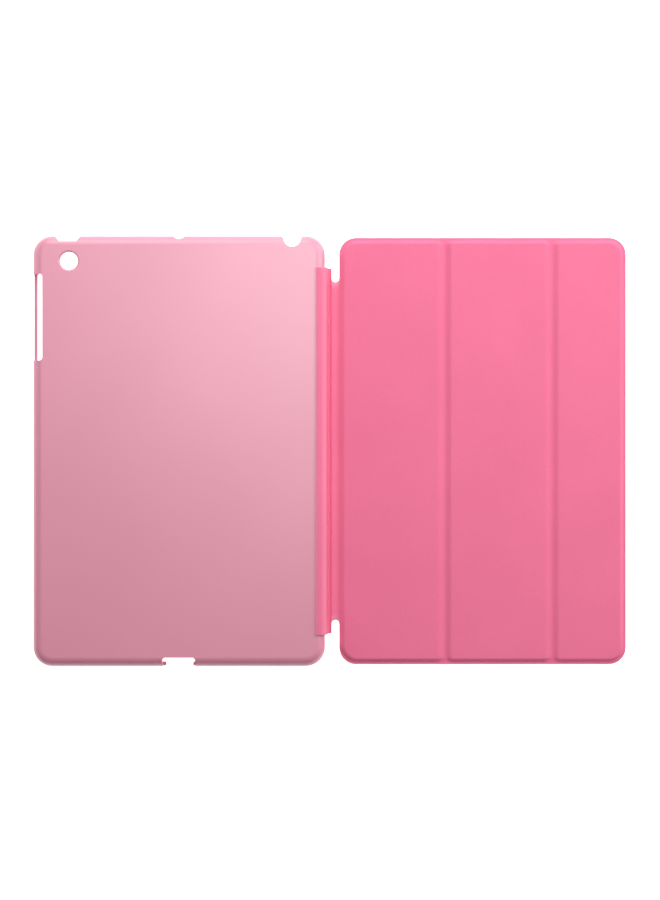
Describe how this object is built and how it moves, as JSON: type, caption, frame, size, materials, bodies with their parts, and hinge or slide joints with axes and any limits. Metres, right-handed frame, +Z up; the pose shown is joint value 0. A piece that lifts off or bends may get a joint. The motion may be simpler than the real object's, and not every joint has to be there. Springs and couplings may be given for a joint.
{
  "type": "tablet case",
  "caption": "Folding tablet case: a translucent hard back shell joined by a leatherette spine to a panelled front cover that folds into a stand.",
  "frame": {"origin": "on the table under the middle of the open case, where the spine creases", "axes": "+X from the back shell to the front cover, +Y towards the camera window, +Z up from the table; the case lies open and face down"},
  "size_m": [0.28, 0.2028, 0.0099],
  "materials": {
    "frosted_shell": "satin frosted translucent polycarbonate",
    "leatherette": "fine-grained polyurethane leather, satin",
    "microfibre": "short brushed microfibre, matt",
    "stiff_board": "plain stiffening board",
    "adhesive_tape": "double-sided adhesive film",
    "strip_steel": "rolled steel",
    "magnet": "nickel-plated magnet"
  },
  "bodies": {
    "root": {"back_shell": "frosted_shell", "spine_tape": "adhesive_tape", "spine_stiffener": "stiff_board", "spine_skin": "leatherette"},
    "hinge_web": {"hinge_web_skin": "leatherette", "hinge_web_lining": "microfibre"},
    "panel_1": {"panel_1_skin": "leatherette", "panel_1_board": "stiff_board", "panel_1_lining": "microfibre", "stand_strip": "strip_steel"},
    "fold_12": {"fold_12_skin": "leatherette", "fold_12_lining": "microfibre"},
    "panel_2": {"panel_2_skin": "leatherette", "panel_2_board": "stiff_board", "panel_2_lining": "microfibre"},
    "fold_23": {"fold_23_skin": "leatherette", "fold_23_lining": "microfibre"},
    "panel_3": {"panel_3_skin": "leatherette", "panel_3_board": "stiff_board", "panel_3_lining": "microfibre", "edge_magnets": "magnet", "wake_magnet": "magnet"}
  },
  "joints": [
    {"name": "spine_crease", "type": "hinge", "parent": "root", "child": "hinge_web", "pos_m": [0, 0, -0.0001], "axis": [0, -1, 0], "range_deg": [-180, 70]},
    {"name": "cover_crease", "type": "hinge", "parent": "hinge_web", "child": "panel_1", "pos_m": [0.0054, 0, 0.001], "axis": [0, -1, 0], "range_deg": [0, 28]},
    {"name": "fold_12_inner_crease", "type": "hinge", "parent": "panel_1", "child": "fold_12", "pos_m": [0.0522, 0, 0.001], "axis": [0, -1, 0], "range_deg": [0, 68]},
    {"name": "fold_12_outer_crease", "type": "hinge", "parent": "fold_12", "child": "panel_2", "pos_m": [0.0562, 0, 0.001], "axis": [0, -1, 0], "range_deg": [0, 68]},
    {"name": "fold_23_inner_crease", "type": "hinge", "parent": "panel_2", "child": "fold_23", "pos_m": [0.1029, 0, 0.001], "axis": [0, -1, 0], "range_deg": [0, 63]},
    {"name": "fold_23_outer_crease", "type": "hinge", "parent": "fold_23", "child": "panel_3", "pos_m": [0.1069, 0, 0.001], "axis": [0, -1, 0], "range_deg": [0, 63]}
  ]
}
